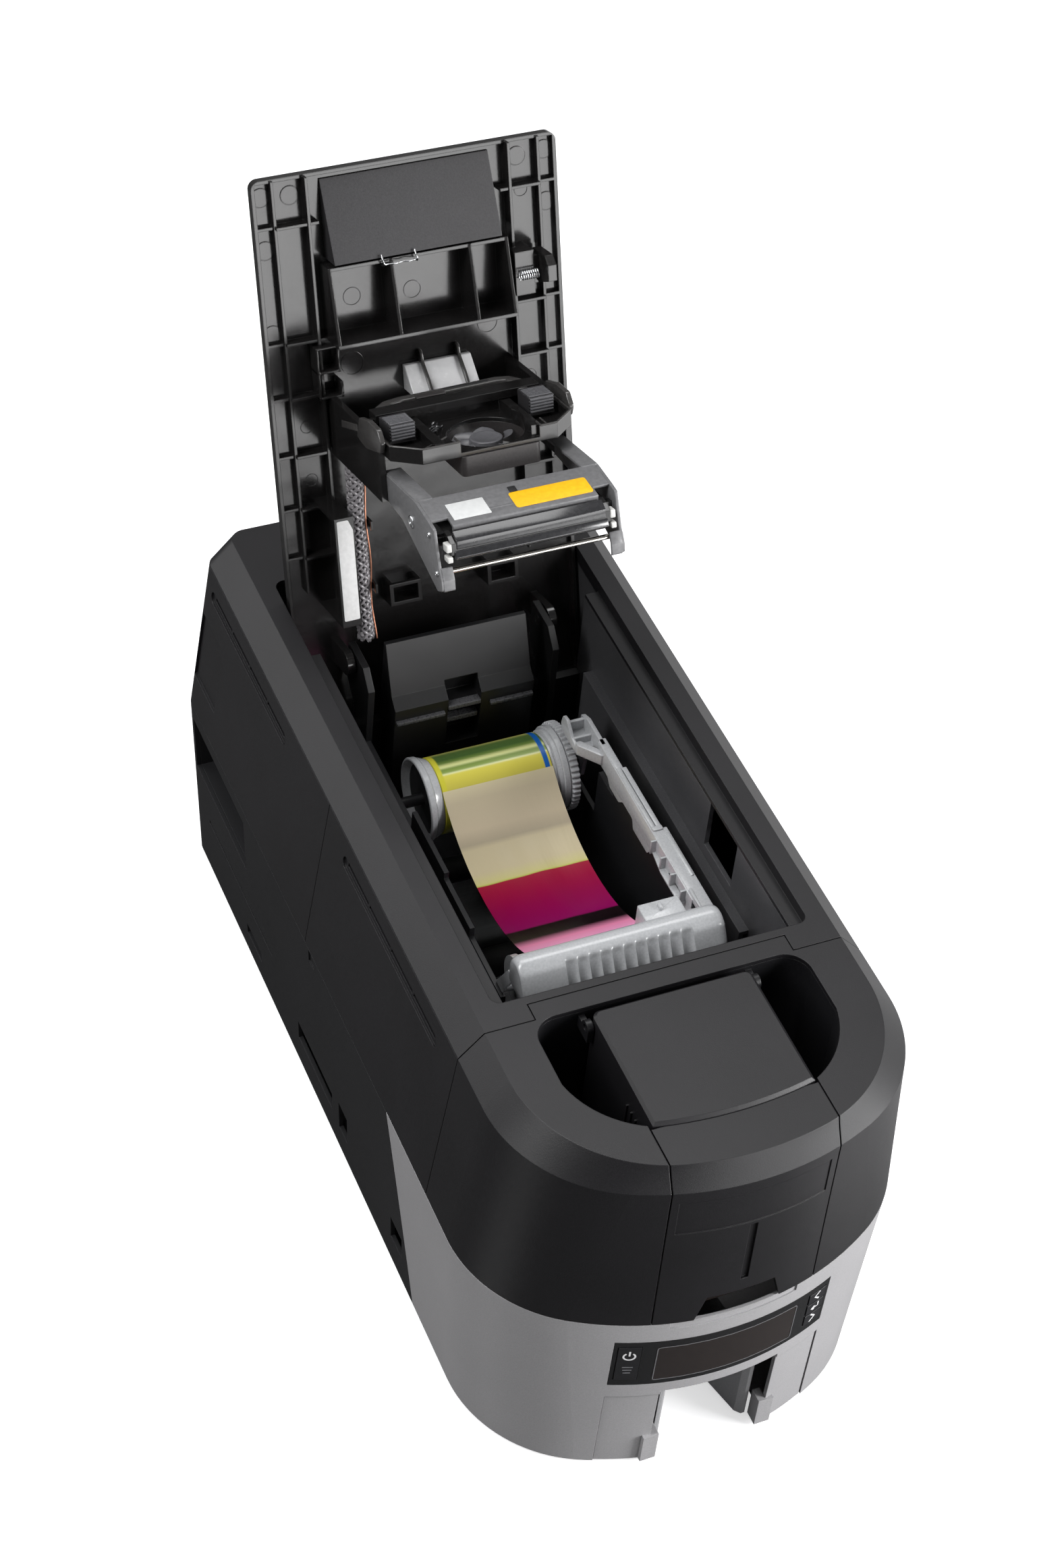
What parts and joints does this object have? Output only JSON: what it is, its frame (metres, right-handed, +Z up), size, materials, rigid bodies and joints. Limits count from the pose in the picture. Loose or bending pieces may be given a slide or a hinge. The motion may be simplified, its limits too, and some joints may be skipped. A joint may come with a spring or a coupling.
{
  "type": "id card printer",
  "caption": "Desktop id card printer with rounded front, grey lower shell, hinged lid standing open, film cartridge, print head and fan in the lid, and a lift-up card hopper cover.",
  "frame": {"origin": "centre of the footprint with the lid open, on the surface that it stands on", "axes": "+X to the right seen from the front, +Y to the rear, +Z up"},
  "size_m": [0.2212, 0.4705, 0.4328],
  "materials": {
    "black_plastic": "fine matt texture",
    "black_gloss": "smooth moulded",
    "grey_shell": "satin grey",
    "dark_grey": "satin dark grey",
    "light_grey": "smooth light grey",
    "panel_black": "glossy black",
    "display_glass": "dark display glass",
    "key_black": "matt black",
    "steel": "zinc plated",
    "grey_metal": "grey painted aluminium",
    "bright_metal": "polished",
    "plate_metal": "brushed",
    "rubber": "matt rubber",
    "film_yellow": "thin film",
    "film_pink": "thin film",
    "film_web": "thin film",
    "cable_braid": "braided sleeve",
    "card_white": "white card",
    "board_green": "circuit board"
  },
  "bodies": {
    "printer_base": {"base_shell": "black_plastic", "front_shell": "grey_shell", "leg_panel_left": "grey_shell", "leg_panel_right": "grey_shell", "output_bay": "dark_grey", "display_panel": "panel_black", "display_glass": "display_glass", "front_cover": "black_plastic", "hopper_well": "black_plastic", "top_frame": "black_plastic", "side_panel_left": "black_plastic", "side_panel_right": "black_plastic", "rear_cover": "black_plastic", "grip_cup_left": "black_plastic", "grip_cup_right": "black_plastic", "power_inlet": "black_gloss", "data_ports": "steel", "chassis_plate": "steel", "side_frame_left": "black_gloss", "side_frame_right": "black_gloss", "bay_liner": "black_plastic", "bay_rear_block": "black_plastic", "film_web": "film_web", "cartridge_frame": "light_grey", "hopper_tray": "black_plastic", "card_stack": "card_white", "power_supply": "steel", "main_board": "board_green", "drive_motor": "steel", "foot_1": "rubber", "foot_2": "rubber", "foot_3": "rubber", "foot_4": "rubber"},
    "lid": {"lid_shell": "black_gloss", "lid_panel": "black_plastic", "head_carrier": "black_gloss", "fan_frame": "black_gloss", "head_bracket": "grey_metal", "head_rod": "bright_metal", "printhead": "black_gloss", "head_plate": "plate_metal", "head_cable": "cable_braid"},
    "fan_rotor": {"fan_rotor": "dark_grey"},
    "lid_latch": {"lid_latch": "black_gloss"},
    "thumb_tab_left": {"thumb_tab_left": "black_plastic"},
    "thumb_tab_right": {"thumb_tab_right": "black_plastic"},
    "hopper_visor": {"hopper_cover": "black_plastic", "hopper_door": "black_plastic"},
    "power_key": {"power_key": "key_black"},
    "key_left": {"key_left": "key_black"},
    "key_enter": {"key_enter": "key_black"},
    "key_right": {"key_right": "key_black"},
    "supply_reel": {"supply_spool": "light_grey", "supply_film": "film_yellow"},
    "takeup_reel": {"takeup_spool": "light_grey", "takeup_film": "film_pink"},
    "platen": {"platen_roller": "rubber"},
    "feed_roller": {"feed_roller": "rubber"},
    "exit_roller": {"exit_roller": "rubber"},
    "pick_roller": {"pick_roller": "rubber"}
  },
  "joints": [
    {"name": "lid_hinge", "type": "hinge", "parent": "printer_base", "child": "lid", "pos_m": [0, 0.13556, 0.2027], "axis": [1, 0, 0], "range_deg": [0, 108.8], "deforming": ["film_web"]},
    {"name": "visor_hinge", "type": "hinge", "parent": "printer_base", "child": "hopper_visor", "pos_m": [0, -0.13534, 0.2191], "axis": [-1, 0, 0], "range_deg": [0, 50]},
    {"name": "supply_spin", "type": "hinge", "parent": "printer_base", "child": "supply_reel", "pos_m": [0, 0.07666, 0.155], "axis": [1, 0, 0], "continuous": true},
    {"name": "takeup_spin", "type": "hinge", "parent": "printer_base", "child": "takeup_reel", "pos_m": [0, -0.05334, 0.157], "axis": [1, 0, 0], "continuous": true},
    {"name": "platen_spin", "type": "hinge", "parent": "printer_base", "child": "platen", "pos_m": [0, 0.02866, 0.0726], "axis": [1, 0, 0], "continuous": true},
    {"name": "feed_spin", "type": "hinge", "parent": "printer_base", "child": "feed_roller", "pos_m": [0, -0.07734, 0.0736], "axis": [1, 0, 0], "continuous": true},
    {"name": "exit_spin", "type": "hinge", "parent": "printer_base", "child": "exit_roller", "pos_m": [0, 0.09466, 0.0736], "axis": [1, 0, 0], "continuous": true},
    {"name": "pick_spin", "type": "hinge", "parent": "printer_base", "child": "pick_roller", "pos_m": [0, -0.17334, 0.108], "axis": [1, 0, 0], "continuous": true},
    {"name": "fan_spin", "type": "hinge", "parent": "lid", "child": "fan_rotor", "pos_m": [0.005, 0.12214, 0.33921], "axis": [0, -0.3223, -0.9466], "continuous": true},
    {"name": "latch_slide", "type": "slide", "parent": "lid", "child": "lid_latch", "axis": [-1, 0, 0], "range_m": [0, 0.002], "stiffness_N_per_m": 400},
    {"name": "tab_left_press", "type": "slide", "parent": "lid", "child": "thumb_tab_left", "axis": [0, -0.3223, -0.9466], "range_m": [0, 0.0014], "stiffness_N_per_m": 500},
    {"name": "tab_right_press", "type": "slide", "parent": "lid", "child": "thumb_tab_right", "axis": [0, -0.3223, -0.9466], "range_m": [0, 0.0014], "stiffness_N_per_m": 500},
    {"name": "power_press", "type": "slide", "parent": "printer_base", "child": "power_key", "axis": [0, 1, 0], "range_m": [0, 0.0008], "stiffness_N_per_m": 600},
    {"name": "left_press", "type": "slide", "parent": "printer_base", "child": "key_left", "axis": [0, 1, 0], "range_m": [0, 0.0008], "stiffness_N_per_m": 600},
    {"name": "enter_press", "type": "slide", "parent": "printer_base", "child": "key_enter", "axis": [0, 1, 0], "range_m": [0, 0.0008], "stiffness_N_per_m": 600},
    {"name": "right_press", "type": "slide", "parent": "printer_base", "child": "key_right", "axis": [0, 1, 0], "range_m": [0, 0.0008], "stiffness_N_per_m": 600}
  ],
  "couplings": [
    {"joint": "feed_spin", "follows": "platen_spin", "ratio": 1.1429},
    {"joint": "exit_spin", "follows": "platen_spin", "ratio": 1.1429}
  ]
}
